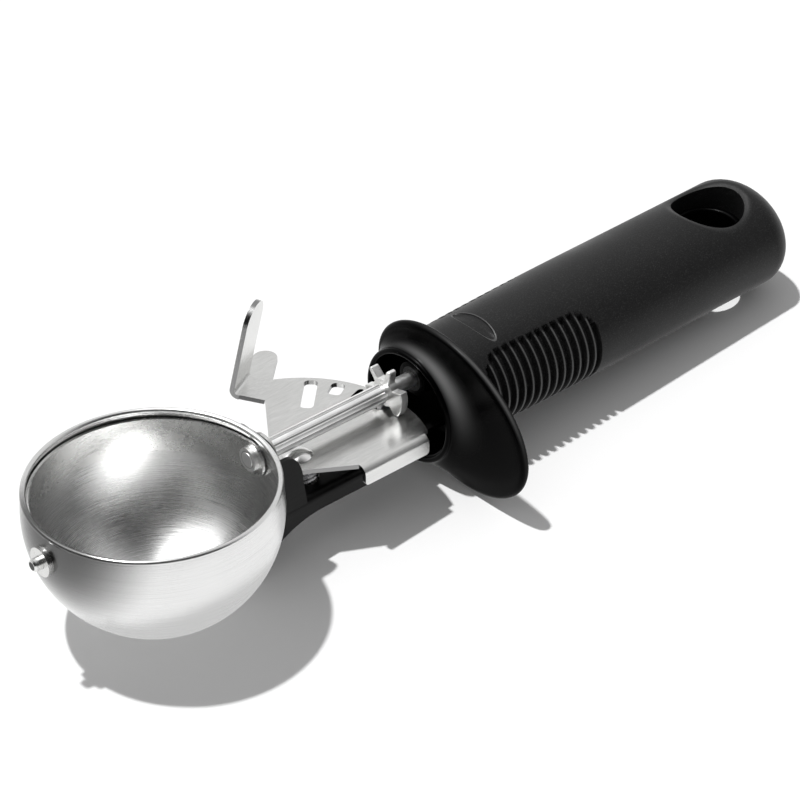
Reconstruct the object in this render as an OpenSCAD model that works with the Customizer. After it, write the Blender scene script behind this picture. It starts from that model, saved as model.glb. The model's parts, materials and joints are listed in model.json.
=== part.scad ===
// Lever ice cream scoop: a thumb lever with a slotted gear sector turns a star
// pinion on a fluted spindle, and the spindle swings a thin scraper blade round
// the inside of the bowl. A stamped channel carries the bowl and runs into a
// moulded handle with a hand guard.
//
// Every module is drawn in the spindle frame: the centre of the bowl's sphere is
// the origin, the spindle runs along +X towards the handle and +Z is the open
// side of the bowl. rest_pose() then lays the scoop on its bowl and handle end.

/* [Bowl] */
// Outside diameter of the bowl
bowl_d = 60; // [45:1:75]
// Thickness of the bowl's sheet
bowl_wall = 0.8; // [0.6:0.1:1.2]
// Height of the rim above the spindle axis
rim_rise = 7; // [4:0.5:10]
// Diameter of the rolled bead on the rim
bead_d = 1.4; // [1:0.1:2]

/* [Bearings in the bowl] */
// Outside diameter of the front bearing's sleeve
front_sleeve_d = 5; // [4:0.1:6.5]
// Outside diameter of the rear bearing's sleeve
rear_sleeve_d = 7.4; // [6:0.1:9]
// Width of the flange round each sleeve
flange_w = 1.1; // [0.6:0.1:2]
// Thickness of each flange
flange_t = 1.1; // [0.6:0.1:2]
// Radial clearance of every running fit
fit = 0.05; // [0.02:0.01:0.1]

/* [Scraper] */
// Width of the scraper band
blade_w = 9; // [6:0.5:14]
// Thickness of the scraper band
blade_t = 0.7; // [0.5:0.1:1]
// Gap between the scraper and the inside of the bowl
blade_gap = 0.35; // [0.2:0.05:0.6]
// Diameter of the round eye at each end of the scraper
eye_d = 9.6; // [7:0.2:12]
// Diameter of the front pin
pin_d = 3.2; // [2.6:0.1:4]
// Length of the front pin that stands out of the bowl
pin_out = 3.2; // [1.5:0.1:5]
// Diameter of the pin's and the spindle's heads inside the bowl
head_d = 6; // [5:0.1:8]
// Thickness of those heads
head_t = 1; // [0.8:0.1:2]

/* [Spindle] */
// Diameter of the spindle
spindle_d = 5; // [4:0.1:6]
// Number of flutes along the spindle
flutes = 8; // [6:1:12]
// Diameter of the spindle's tail, under the pinion and in the handle
tail_d = 4; // [3:0.1:4.6]
// Depth of the flat that keys the pinion to the tail
flat_depth = 0.5; // [0.3:0.1:0.8]
// Length of the tail behind the pinion
tail_len = 15; // [12:0.5:20]

/* [Star pinion] */
// Radius to the tips of the teeth
tip_r = 6.9; // [6.5:0.1:7]
// Radius of the broad stop lobe
lobe_r = 6.7; // [6:0.1:6.9]
// Thickness of the pinion along the spindle
pinion_t = 2.2; // [1.6:0.1:2.6]
// Width of a tooth at its root
tooth_root_w = 2; // [1.6:0.1:2]
// Width of a tooth at its tip
tooth_tip_w = 1.3; // [1:0.1:1.3]
// Radius of the pinion's hub
hub_r = 3.7; // [3:0.1:4]
// Turn of the pinion past a tooth pointing straight down
pinion_phase = 16; // [12:1:18]

/* [Lever] */
// Distance from the bowl's wall to the lever's pivot
pivot_gap = 11; // [10:0.5:20]
// Offset of the pivot towards the near side
pivot_y = -1; // [-3:0.5:2]
// Thickness of the lever's sheet
plate_t = 1.2; // [1:0.1:1.2]
// Distance from the spindle axis down to the top of the lever's sheet
plate_drop = 4.7; // [4.7:0.1:5]
// Radius of the circle through the gear slots
slot_circle_r = 28.6; // [27:0.1:32]
// Angle between two gear slots
slot_pitch = 13; // [12.5:0.1:13.1]
// Width of a gear slot
slot_w = 3.5; // [3.4:0.1:3.7]
// Length of a gear slot
slot_len = 5; // [4.8:0.1:5.4]
// Radius of the slots' corners
slot_corner = 1.2; // [0.6:0.1:1.2]
// Length of the long slot after the gear slots
long_slot_len = 11.8; // [6:0.2:12]
// Width of the long slot
long_slot_w = 3.4; // [3.4:0.1:3.8]
// Width of the rim outside the slots
sector_edge = 1.2; // [1:0.1:3]
// Radius of the boss round the pivot
boss_r = 6.5; // [5:0.1:8]
// Inside radius of every fold in the sheet
bend_r = 0.9; // [0.6:0.1:1.4]
// Distance from the pivot to the fold of the lip
lip_offset = 13; // [11:0.2:14]
// Length of the folded lip
lip_len = 19.8; // [14:0.2:20]
// Depth of the folded lip below the sheet's top
lip_depth = 4.8; // [3.6:0.1:5]
// Direction of the thumb ramp's bend line
pad_dir = 49; // [44:1:54]
// Length of that bend line
pad_len = 9.5; // [8:0.5:12]
// Width of the ramp at its end towards the handle
pad_far_w = 5.5; // [4.5:0.1:7]
// Width of the ramp at its end towards the bowl
pad_near_w = 8.9; // [7.5:0.1:10]
// Upward slope of the ramp
pad_slope = 12; // [6:1:16]
// Height of the thumb tab above the ramp
tab_h = 25; // [16:0.5:30]
// Distance from the bend line's end to the middle of the ear's round end
ear_reach = 9.2; // [6:0.2:10]
// Radius of the ear's round end
ear_r = 3.1; // [2.4:0.1:3.6]

/* [Pivot stack] */
// Diameter of the rivet's shank
rivet_d = 4; // [3:0.1:5]
// Diameter of the rivet's domed head
rivet_head_d = 7.2; // [6:0.1:9]
// Height of the rivet's domed head
rivet_head_h = 1.3; // [1:0.1:1.6]
// Outside diameter of the bushing on the rivet
bushing_d = 7; // [6:0.1:9]
// Diameter of the two washers
washer_d = 10; // [8:0.2:14]
// Thickness of the two washers
washer_t = 0.5; // [0.4:0.1:0.8]
// Free gap above and below the lever's sheet
play = 0.1; // [0.05:0.01:0.2]
// Diameter of the return spring's wire
wire_d = 1.1; // [0.8:0.1:1.2]
// Reach of the spring's straight legs
leg_reach = 7; // [5:0.5:8]

/* [Channel] */
// Thickness of the channel's sheet
channel_t = 1.2; // [1:0.1:2]
// Width of the channel over its sides
channel_w = 19; // [16:0.5:22]
// Depth of the channel's sides
channel_depth = 4.8; // [4:0.1:7]
// Distance from the spindle axis down to the channel's web
web_drop = 10.9; // [10.6:0.1:13]
// Height of the channel's cheeks above the spindle axis
cheek_rise = 3; // [0:0.1:5]
// Distance the cheeks reach out from the bowl
cheek_reach = 5.9; // [3:0.1:6]
// Width of the saddle on the bowl
saddle_w = 22; // [18:0.5:28]
// Height of the saddle's top above the spindle axis
saddle_rise = 5.6; // [4.5:0.1:6]
// Depth of the saddle's foot below the spindle axis
saddle_drop = 21; // [18:0.5:23]
// Width of the tang inside the handle
tang_w = 14; // [10:0.5:16]
// Length of the tang inside the handle
tang_len = 44; // [30:1:60]
// Diameter of the pins across the tang
tang_pin_d = 3; // [2:0.1:4]
// Length of the pins across the tang
tang_pin_len = 6; // [5:0.5:7]
// Distance between those pins
tang_pin_gap = 22; // [12:1:30]

/* [Handle] */
// Distance from the middle of the pinion to the mouth of the neck
neck_gap = 6.4; // [6:0.1:12]
// Distance of the handle's axis below the spindle axis at the mouth
handle_drop = 6.3; // [4.5:0.1:7]
// Rise of the handle towards its end
handle_rise = 1.1; // [0:0.1:3]
// Outside radius of the neck's round mouth
mouth_r = 15.2; // [14.5:0.1:16]
// Distance of the mouth's centre below the handle's axis
mouth_drop = 1.3; // [0:0.1:2]
// Wall of the neck
mouth_wall = 1.6; // [1.4:0.1:2.2]
// Half width of the neck under the front of the grip
neck_r = 14.8; // [14:0.1:15.5]
// Depth of the hollow behind the mouth
hollow_depth = 8; // [6:0.5:9]
// Length of the handle from the mouth to its end
handle_len = 124.8; // [112:0.2:150]
// Half width of the grip at its front
grip_front_r = 15.7; // [15.2:0.1:18]
// Half width of the grip at its middle
grip_mid_r = 16.8; // [15.5:0.1:18]
// Half width of the grip at its end
grip_end_r = 16.9; // [15.5:0.1:18]
// Height of the grip as a share of its width
grip_squash = 0.85; // [0.82:0.01:1]
// Distance from the mouth to the front of the grip sleeve
grip_start = 9.6; // [9.6:0.1:14]
// Radius of the sleeve's rounded front edge
grip_nose = 1.2; // [0.6:0.1:2]
// Thickness of the soft sleeve
sleeve_t = 3.8; // [3:0.1:4.4]
// Length of the domed end
dome_len = 10.2; // [8:0.2:14]
// Diameter of the hanging hole
hang_d = 15; // [10:0.5:15]
// Outside diameter of the ring round the hanging hole
ring_d = 18.6; // [18:0.2:20]
// Height of that ring
ring_h = 14; // [10:0.5:18]
// Diameter of the sleeve's opening over the ring
dish_d = 20.8; // [20.2:0.2:22]
// Distance from the hanging hole to the handle's end
hang_inset = 20.3; // [18:0.1:26]
// Number of grooves in each side of the grip
groove_count = 14; // [5:1:16]
// Distance between grooves
groove_pitch = 2.6; // [2.4:0.1:3.4]
// Width of a groove
groove_w = 1.9; // [1:0.1:2]
// Depth of a groove
groove_depth = 1.6; // [0.8:0.1:1.8]
// Height of the grooved patch
patch_h = 22; // [14:0.5:22]
// Radius of the patch's corners
patch_corner = 6.5; // [3:0.5:7]
// Distance from the mouth to the grooved patch
patch_start = 14; // [12:0.2:30]

/* [Recess for a badge, left bare] */
// Length of the oval recess across the top of the grip
oval_len = 15; // [8:0.5:18]
// Width of the oval along the grip
oval_w = 4.4; // [3:0.2:8]
// Depth of the oval
oval_depth = 0.3; // [0.2:0.1:0.6]
// Distance from the mouth to the middle of the oval
oval_x = 22; // [16:0.5:60]

/* [Guard] */
// Distance from the mouth back to the guard's rim
flare_len = 3.7; // [3:0.1:5]
// Thickness of the guard's rim
guard_t = 2.6; // [1.6:0.1:3]
// Half length of the guard's oval
guard_a = 27; // [22:0.5:28]
// Half width of the guard's oval
guard_b = 18.9; // [17:0.1:19]
// Turn of the guard's oval
guard_turn = 17.5; // [0:0.5:20]
// Shift of the guard to the near side
guard_shift = 10.9; // [5:0.1:11.5]
// Height of the guard's centre above the handle's axis
guard_lift = 1.4; // [0.5:0.1:3]

/* [Hidden] */
// Teeth to a full turn, gear slots in the lever, and turns of the spring
pinion_teeth = 6;
slot_count = 3;
spring_turns = 2.5;

bowl_r = bowl_d / 2;
bowl_in = bowl_r - bowl_wall;
blade_out = bowl_in - blade_gap;
blade_in = blade_out - blade_t;
pin_neck_d = pin_d - 0.6;
spindle_neck_d = spindle_d - 1.4;
saddle_out = bowl_r + channel_t;

pivot_x = bowl_r + pivot_gap;
pinion_x = pivot_x + slot_circle_r;
neck_x = pinion_x + neck_gap;
shoulder_x = pinion_x - pinion_t / 2 - 1;
fluted_from = saddle_out + flange_t + 1.2;
flute_d = 1.1;

plate_top = -plate_drop;
plate_low = plate_top - plate_t;
gear_ratio = 360 / pinion_teeth / slot_pitch;
slot_phase = pinion_phase / gear_ratio + asin(-pivot_y / slot_circle_r);
sector_r = slot_circle_r + slot_len / 2 + sector_edge;
bend_out = bend_r + plate_t;
fold_lap = 0.6;
// The thumb ramp's bend line ends a little outside the sector's rim.
pad_root_out = 0.9;
pad_root_dir = 63.9;
pad_root = (sector_r + pad_root_out) * [cos(pad_root_dir), sin(pad_root_dir)];
pad_along = [cos(pad_dir), sin(pad_dir)];
pad_across = [-sin(pad_dir), cos(pad_dir)];
function by_pad(along, across) = pad_root + along * pad_along + across * pad_across;
ear_dir = 54;
ear_centre = pad_root + ear_reach * [cos(ear_dir), sin(ear_dir)];

web_top = -web_drop;
web_low = web_top - channel_t;
bushing_top = plate_low - play - washer_t;
spring_r = bushing_d / 2 + 0.5 + wire_d / 2;
spring_low = web_top + washer_t + wire_d / 2;
spring_high = bushing_top - wire_d / 2;

dome_x = handle_len - dome_len;
hang_x = handle_len - hang_inset;
core_half_w = grip_front_r - sleeve_t;
core_half_h = grip_front_r * grip_squash - sleeve_t;
bush_wall = 1.2;
bush_d = tail_d + 2 * bush_wall;
bush_len = 9;
boss_wall = 1.3;
boss_d = bush_d + 2 * boss_wall;
boss_inset = 1.5;
boss_x = neck_x + boss_inset;
big = 400;
tiny = 0.01;

// Rest pose: the floor touches the bowl and the underside of the handle's dome.
function dome_centre() = [
    neck_x + dome_x * cos(handle_rise),
    -handle_drop + dome_x * sin(handle_rise)
];
function dome_reach(angle) = norm([
    dome_len * sin(angle - handle_rise),
    grip_end_r * grip_squash * cos(angle - handle_rise)
]);
function tilt_for(angle) =
    let (c = dome_centre(), span = norm(c))
    asin((bowl_r - dome_reach(angle)) / span) + atan2(c[1], c[0]);
rest_tilt = tilt_for(tilt_for(tilt_for(3)));
dome_front = norm([
    dome_len * cos(rest_tilt - handle_rise),
    grip_end_r * grip_squash * sin(rest_tilt - handle_rise)
]);
x_high = dome_centre()[0] * cos(rest_tilt) + dome_centre()[1] * sin(rest_tilt) + dome_front;
x_low = -(bowl_r + pin_out) * cos(rest_tilt) - pin_d / 2 * sin(rest_tilt);
y_low = -guard_shift - norm([guard_a * cos(guard_turn), guard_b * sin(guard_turn)]);
y_high = pivot_y + ear_centre[1] + ear_r;

// ---- frames -------------------------------------------------------------

module rest_pose() {
    translate([-(x_low + x_high) / 2, -(y_low + y_high) / 2, bowl_r])
        rotate([0, rest_tilt, 0])
            children();
}

// +Z of the children becomes +X of the spindle.
module along_x(x = 0) {
    translate([x, 0, 0])
        rotate([0, 90, 0])
            children();
}

module at_pivot() {
    translate([pivot_x, pivot_y, 0])
        children();
}

// Origin at the neck's mouth, +X along the handle.
module at_neck() {
    translate([neck_x, 0, -handle_drop])
        rotate([0, -handle_rise, 0])
            children();
}

module shell(outer, inner) {
    difference() {
        sphere(r = outer, $fn = 128);
        sphere(r = inner, $fn = 128);
    }
}

// ---- bowl and its bearings ----------------------------------------------

module bowl() {
    bead_z = rim_rise - bead_d / 2;
    bead_x = sqrt(bowl_r * bowl_r - bead_z * bead_z) - bead_d / 4;
    color("silver")
        rest_pose()
            difference() {
                rotate_extrude($fn = 180)
                    union() {
                        intersection() {
                            difference() {
                                circle(r = bowl_r, $fn = 180);
                                circle(r = bowl_in, $fn = 180);
                            }
                            translate([0, -bowl_r])
                                square([bowl_r, bowl_r + bead_z]);
                        }
                        translate([bead_x, bead_z])
                            circle(d = bead_d, $fn = 32);
                    }
                along_x(-bowl_r - 1)
                    cylinder(d = front_sleeve_d, h = bowl_r, $fn = 48);
                along_x(1)
                    cylinder(d = rear_sleeve_d, h = bowl_r, $fn = 48);
            }
}

// A sleeve through the wall with a flange that sits on the sphere outside.
module bearing(sleeve_d, bore_d, seat_r) {
    difference() {
        union() {
            cylinder(d = sleeve_d, h = seat_r + flange_t, $fn = 48);
            intersection() {
                cylinder(d = sleeve_d + 2 * flange_w, h = seat_r + flange_t, $fn = 48);
                difference() {
                    cylinder(r = bowl_r, h = big, $fn = 48);
                    sphere(r = seat_r, $fn = 128);
                }
            }
        }
        sphere(r = bowl_in, $fn = 128);
        cylinder(d = bore_d, h = big, $fn = 48);
    }
}

module front_bearing() {
    color("gainsboro")
        rest_pose()
            rotate([0, -90, 0])
                bearing(front_sleeve_d, pin_d + 2 * fit, bowl_r);
}

module rear_bearing() {
    color("gainsboro")
        rest_pose()
            along_x()
                bearing(rear_sleeve_d, spindle_d + 2 * fit, saddle_out);
}

// ---- scraper, pin and spindle -------------------------------------------

module scraper_blade() {
    color("silver")
        rest_pose()
            difference() {
                intersection() {
                    shell(blade_out, blade_in);
                    union() {
                        translate([-bowl_r, 0, -blade_w / 2])
                            cube([2 * bowl_r, bowl_r, blade_w]);
                        along_x(-bowl_r)
                            cylinder(d = eye_d, h = 2 * bowl_r, $fn = 64);
                    }
                }
                along_x(-bowl_r)
                    cylinder(d = pin_neck_d, h = bowl_r, $fn = 48);
                along_x()
                    cylinder(d = spindle_neck_d, h = bowl_r, $fn = 48);
            }
}

// Head and neck that hold the scraper's eye, for the pin and for the spindle.
module blade_seat(neck_d) {
    translate([0, 0, blade_in - head_t - 0.3])
        cylinder(d = neck_d, h = blade_t + head_t + 0.6, $fn = 48);
    intersection() {
        translate([0, 0, blade_in - head_t - 0.2])
            cylinder(d = head_d, h = head_t + 1, $fn = 48);
        sphere(r = blade_in, $fn = 128);
    }
}

module front_pin() {
    chamfer = 0.4;
    color("gainsboro")
        rest_pose()
            rotate([0, -90, 0])
                union() {
                    blade_seat(pin_neck_d);
                    difference() {
                        union() {
                            translate([0, 0, blade_in])
                                cylinder(d = pin_d, h = bowl_r + pin_out - chamfer - blade_in, $fn = 48);
                            translate([0, 0, bowl_r + pin_out - chamfer])
                                cylinder(d1 = pin_d, d2 = pin_d - 2 * chamfer, h = chamfer, $fn = 48);
                        }
                        sphere(r = blade_out, $fn = 128);
                    }
                }
}

module flute_section() {
    difference() {
        circle(d = spindle_d, $fn = 64);
        for (i = [0 : flutes - 1])
            rotate(i * 360 / flutes)
                translate([spindle_d / 2 + flute_d / 6, 0])
                    circle(d = flute_d, $fn = 24);
    }
}

module key_section() {
    difference() {
        circle(d = tail_d, $fn = 48);
        translate([-tail_d, tail_d / 2 - flat_depth])
            square([2 * tail_d, tail_d]);
    }
}

module spindle() {
    key_end = pinion_x + pinion_t / 2;
    color("gainsboro")
        rest_pose()
            along_x()
                union() {
                    blade_seat(spindle_neck_d);
                    difference() {
                        translate([0, 0, blade_in])
                            cylinder(d = spindle_d, h = fluted_from - blade_in, $fn = 64);
                        sphere(r = blade_out, $fn = 128);
                    }
                    translate([0, 0, fluted_from])
                        linear_extrude(shoulder_x - fluted_from)
                            flute_section();
                    translate([0, 0, shoulder_x])
                        cylinder(d = tail_d, h = 1, $fn = 48);
                    translate([0, 0, shoulder_x + 1])
                        linear_extrude(pinion_t)
                            key_section();
                    translate([0, 0, key_end])
                        cylinder(d = tail_d, h = tail_len, $fn = 48);
                }
}

// ---- star pinion ---------------------------------------------------------

// Drawn flat: +X of the sketch points down and +Y to the far side.
module tooth() {
    root = hub_r - 0.6;
    corner = 0.3;
    polygon([
        [root, -tooth_root_w / 2],
        [tip_r - corner, -tooth_tip_w / 2],
        [tip_r, -tooth_tip_w / 2 + corner],
        [tip_r, tooth_tip_w / 2 - corner],
        [tip_r - corner, tooth_tip_w / 2],
        [root, tooth_root_w / 2]
    ]);
}

// Four teeth, and one broad lobe with a foot that comes to rest on the lever's sheet.
module star_sketch() {
    foot_gap = 0.2;
    union() {
        circle(r = hub_r, $fn = 48);
        for (i = [0 : pinion_teeth - 3])
            rotate(pinion_phase + i * 360 / pinion_teeth)
                tooth();
        intersection() {
            circle(r = lobe_r, $fn = 64);
            translate([plate_drop - foot_gap - big, -big])
                square([big, big]);
            rotate(pinion_phase - 2 * 360 / pinion_teeth)
                polygon([
                    [0, -tooth_root_w / 2],
                    [big, -tooth_root_w / 2],
                    [big * cos(60), big * sin(60)],
                    [0, tooth_root_w / 2]
                ]);
        }
    }
}

module star_pinion() {
    color("lightgray")
        rest_pose()
            along_x(pinion_x - pinion_t / 2)
                linear_extrude(pinion_t)
                    difference() {
                        star_sketch();
                        key_section();
                    }
}

// ---- lever ---------------------------------------------------------------

module rounded_slot(length, width) {
    inner = width / 2 - slot_corner;
    union() {
        translate([-length / 2 + slot_corner, -width / 2])
            square([length - 2 * slot_corner, width]);
        translate([-length / 2, -inner])
            square([length, 2 * inner]);
        for (sx = [-1, 1], sy = [-1, 1])
            translate([sx * (length / 2 - slot_corner), sy * inner])
                circle(r = slot_corner, $fn = 24);
    }
}

module slots() {
    for (i = [0 : slot_count - 1])
        rotate(slot_phase + i * slot_pitch)
            translate([slot_circle_r, 0])
                rounded_slot(slot_len, slot_w);
    rotate(slot_phase + slot_count * slot_pitch)
        translate([slot_circle_r + (slot_len - long_slot_len) / 2, 0])
            rounded_slot(long_slot_len, long_slot_w);
}

// Flat outline of the sector, its arm and the ear, with the pivot at the origin.
module sector_sketch() {
    ramp_near = by_pad(-pad_len, 0);
    ear_root = by_pad(0.3, -1.4);
    ear_axis = ear_centre - (by_pad(0.8, pad_far_w) + ear_root) / 2;
    ear_side = ear_r * [-ear_axis[1], ear_axis[0]] / norm(ear_axis);
    difference() {
        union() {
            circle(r = boss_r, $fn = 64);
            intersection() {
                circle(r = sector_r, $fn = 180);
                polygon([
                    [-0.7 * boss_r, 0.7 * boss_r],
                    ramp_near,
                    pad_root,
                    ear_root,
                    [sector_r + 8, ear_root[1]],
                    [sector_r + 8, fold_lap / 2 - lip_offset],
                    [lip_start() + 0.2, fold_lap / 2 - lip_offset],
                    [-0.7 * boss_r, -0.7 * boss_r]
                ]);
            }
            polygon([ramp_near, pad_root, ear_root, 0.94 * ear_root, 0.94 * ramp_near]);
            polygon([
                by_pad(-0.7, 0),
                0.98 * ear_root,
                ear_root,
                ear_centre - ear_side,
                ear_centre + ear_side,
                by_pad(1.4, pad_far_w),
                by_pad(0.6, pad_far_w - 2.3),
                by_pad(-0.7, pad_far_w - 2.5)
            ]);
            translate(ear_centre)
                circle(r = ear_r, $fn = 48);
        }
        circle(d = rivet_d + 2 * fit, $fn = 48);
        slots();
    }
}

function lip_start() = sqrt(sector_r * sector_r - lip_offset * lip_offset) - lip_len - 1.5;

// A flange folded down at y = 0, where the sheet's flat ends. The child draws the
// flange beyond the fold, with x along the fold and y downwards. A narrow strip of
// the flat comes with it and laps into the sheet.
module fold(length) {
    translate([0, 0, -bend_out]) {
        rotate([90, 0, 90])
            linear_extrude(length)
                union() {
                    translate([0, bend_r])
                        square([fold_lap, plate_t]);
                    intersection() {
                        difference() {
                            circle(r = bend_out, $fn = 48);
                            circle(r = bend_r, $fn = 48);
                        }
                        translate([-bend_out, 0])
                            square(bend_out);
                    }
                }
        translate([0, -bend_r, 0])
            rotate([90, 0, 0])
                linear_extrude(plate_t)
                    mirror([0, 1])
                        children();
    }
}

module lip() {
    corner = 1;
    deep = lip_depth - bend_out;
    translate([lip_start(), -lip_offset, 0])
        fold(lip_len)
            union() {
                square([lip_len, deep - corner]);
                translate([corner, 0])
                    square([lip_len - 2 * corner, deep]);
                for (x = [corner, lip_len - corner])
                    translate([x, deep - corner])
                        circle(r = corner, $fn = 24);
            }
}

// The thumb ramp rises from its bend line, and the round-topped tab is folded up
// from the ramp's outer edge.
module thumb_piece() {
    far = [0.8, pad_far_w];
    near = [1 - pad_len, pad_near_w];
    edge = far - near;
    tab_w = norm(edge);
    inward = [edge[1], -edge[0]] / tab_w;
    fold_near = near + bend_out * inward;
    flat = bend_out + fold_lap / 2;
    nip = 0.2 * edge / tab_w;
    straight = tab_h - bend_out - tab_w / 2;
    translate([pad_root[0], pad_root[1], 0])
        rotate(pad_dir)
            rotate([pad_slope, 0, 0]) {
                translate([0, 0, -plate_t])
                    linear_extrude(plate_t)
                        polygon([
                            [0, 0],
                            far + flat * inward - nip,
                            near + flat * inward + nip,
                            [-pad_len, 0]
                        ]);
                translate([fold_near[0], fold_near[1], -plate_t])
                    rotate(atan2(edge[1], edge[0]))
                        rotate([180, 0, 0])
                            fold(tab_w)
                                union() {
                                    square([tab_w, straight]);
                                    translate([tab_w / 2, straight])
                                        circle(d = tab_w, $fn = 64);
                                }
            }
}

module lever_plate() {
    color("silver")
        rest_pose()
            at_pivot()
                translate([0, 0, plate_top])
                    union() {
                        translate([0, 0, -plate_t])
                            linear_extrude(plate_t)
                                sector_sketch();
                        lip();
                        thumb_piece();
                    }
}

// ---- pivot stack ----------------------------------------------------------

module pivot_rivet() {
    head_z = plate_top + play;
    dome_r = (rivet_head_d * rivet_head_d / 4 + rivet_head_h * rivet_head_h) / (2 * rivet_head_h);
    tail_h = 1.2;
    color("gainsboro")
        rest_pose()
            at_pivot()
                union() {
                    intersection() {
                        translate([0, 0, head_z + rivet_head_h - dome_r])
                            sphere(r = dome_r, $fn = 64);
                        translate([0, 0, head_z])
                            cylinder(d = 2 * rivet_head_d, h = rivet_head_h + 1, $fn = 48);
                    }
                    translate([0, 0, web_low - tiny])
                        cylinder(d = rivet_d, h = head_z - web_low + 2 * tiny, $fn = 48);
                    translate([0, 0, web_low - tail_h])
                        cylinder(d1 = rivet_head_d - 1, d2 = rivet_head_d, h = tail_h, $fn = 48);
                }
}

module ring(outer_d, low, high) {
    translate([0, 0, low])
        difference() {
            cylinder(d = outer_d, h = high - low, $fn = 48);
            translate([0, 0, -1])
                cylinder(d = rivet_d, h = high - low + 2, $fn = 48);
        }
}

module pivot_bushing() {
    color("darkgray")
        rest_pose()
            at_pivot()
                ring(bushing_d, web_top + washer_t, bushing_top);
}

module upper_washer() {
    color("gainsboro")
        rest_pose()
            at_pivot()
                ring(washer_d, bushing_top, bushing_top + washer_t);
}

module lower_washer() {
    color("gainsboro")
        rest_pose()
            at_pivot()
                ring(washer_d, web_top, web_top + washer_t);
}

// A round wire swept along a list of points.
module wire(path, d, sides = 8) {
    steps = len(path);
    rings = [
        for (i = [0 : steps - 1])
            let (
                a = path[max(i - 1, 0)],
                b = path[min(i + 1, steps - 1)],
                t = (b - a) / norm(b - a),
                u = cross(t, [0, 0, 1]) / norm(cross(t, [0, 0, 1])),
                v = cross(u, t)
            )
                for (k = [0 : sides - 1])
                    path[i] + d / 2 * (cos(k * 360 / sides) * u + sin(k * 360 / sides) * v)
    ];
    sides_faces = [
        for (i = [0 : steps - 2], k = [0 : sides - 1])
            let (n = (k + 1) % sides)
                [i * sides + k, i * sides + n, (i + 1) * sides + n, (i + 1) * sides + k]
    ];
    start_face = [for (k = [sides - 1 : -1 : 0]) k];
    end_face = [for (k = [0 : sides - 1]) (steps - 1) * sides + k];
    polyhedron(points = rings, faces = concat(sides_faces, [start_face, end_face]), convexity = 6);
}

// Coil round the bushing; one leg lies on the channel, the other under the lever.
function coil_point(angle) =
    let (share = angle / (360 * spring_turns))
    [
        spring_r * cos(angle),
        spring_r * sin(angle),
        spring_low + share * (spring_high - spring_low)
    ];

module return_spring() {
    first_turn = 200;
    last = 360 * spring_turns;
    tail = [leg_reach * sin(last), -leg_reach * cos(last), 0];
    lead = [0, -leg_reach, 0];
    coil = [for (a = [0 : 15 : last]) coil_point(a)];
    color("darkgray")
        rest_pose()
            at_pivot()
                rotate(first_turn)
                    wire(concat([coil[0] + lead], coil, [coil[len(coil) - 1] - tail]), wire_d);
}

// ---- channel ---------------------------------------------------------------

// Section across the channel, open side down, with rounded shoulders.
module channel_section() {
    shoulder = 2;
    deep = saddle_drop - web_drop + 2;
    half = channel_w / 2;
    module outline(grow) {
        r = shoulder + grow;
        w = half + grow;
        union() {
            translate([-w, -deep])
                square([2 * w, deep - shoulder]);
            translate([-w + r, -deep])
                square([2 * (w - r), deep + grow]);
            for (s = [-1, 1])
                translate([s * (w - r), -shoulder])
                    circle(r = r, $fn = 32);
        }
    }
    difference() {
        outline(0);
        outline(-channel_t);
        translate([-half + channel_t, -2 * deep])
            square([2 * (half - channel_t), 2 * deep - shoulder - channel_t]);
    }
}

// Side view: straight sides that sweep down into the foot of the saddle.
module channel_side() {
    foot_x = sqrt(bowl_r * bowl_r - saddle_drop * saddle_drop) - 4;
    sweep_r = 26;
    sweep_x = foot_x + 24.5;
    low = web_top - channel_depth;
    side_end = neck_x - 13;
    difference() {
        union() {
            polygon([
                [foot_x, web_top],
                [foot_x, -saddle_drop],
                [side_end, -saddle_drop],
                [side_end, web_top]
            ]);
            polygon([
                [foot_x, web_top + tiny],
                [foot_x, web_low],
                [neck_x + tang_len, web_low],
                [neck_x + tang_len, web_top + tiny]
            ]);
        }
        translate([sweep_x, low - sweep_r])
            circle(r = sweep_r, $fn = 128);
        translate([sweep_x, -saddle_drop - 10])
            square([big, low + saddle_drop + 10]);
    }
}

module channel_plan() {
    half = channel_w / 2;
    taper_from = neck_x - 14;
    taper_to = neck_x - 3;
    union() {
        translate([0, -half])
            square([taper_from, channel_w]);
        polygon([
            [taper_from, -half],
            [taper_to, -tang_w / 2],
            [neck_x + tang_len, -tang_w / 2],
            [neck_x + tang_len, tang_w / 2],
            [taper_to, tang_w / 2],
            [taper_from, half]
        ]);
    }
}

module saddle_section() {
    round_r = 8;
    union() {
        translate([-saddle_w / 2, -saddle_drop])
            square([saddle_w, saddle_drop + saddle_rise - round_r]);
        translate([-saddle_w / 2 + round_r, -saddle_drop])
            square([saddle_w - 2 * round_r, saddle_drop + saddle_rise]);
        for (s = [-1, 1])
            translate([s * (saddle_w / 2 - round_r), saddle_rise - round_r])
                circle(r = round_r, $fn = 64);
    }
}

// The channel's sides run up beside the bowl and curve in to its saddle.
module cheek_side() {
    front = bowl_r + cheek_reach;
    round_w = 4.5;
    round_from = web_top + 6;
    polygon(concat(
        [[0, web_low], [front + 1, web_low]],
        [for (a = [0 : 10 : 90])
            [front - round_w * (1 - cos(a)), round_from + (cheek_rise - round_from) * sin(a)]],
        [[0, cheek_rise]]
    ));
}

module cheeks() {
    half = channel_w / 2;
    for (y = [-half, half - channel_t])
        translate([0, y + channel_t, 0])
            rotate([90, 0, 0])
                linear_extrude(channel_t)
                    cheek_side();
}

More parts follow.
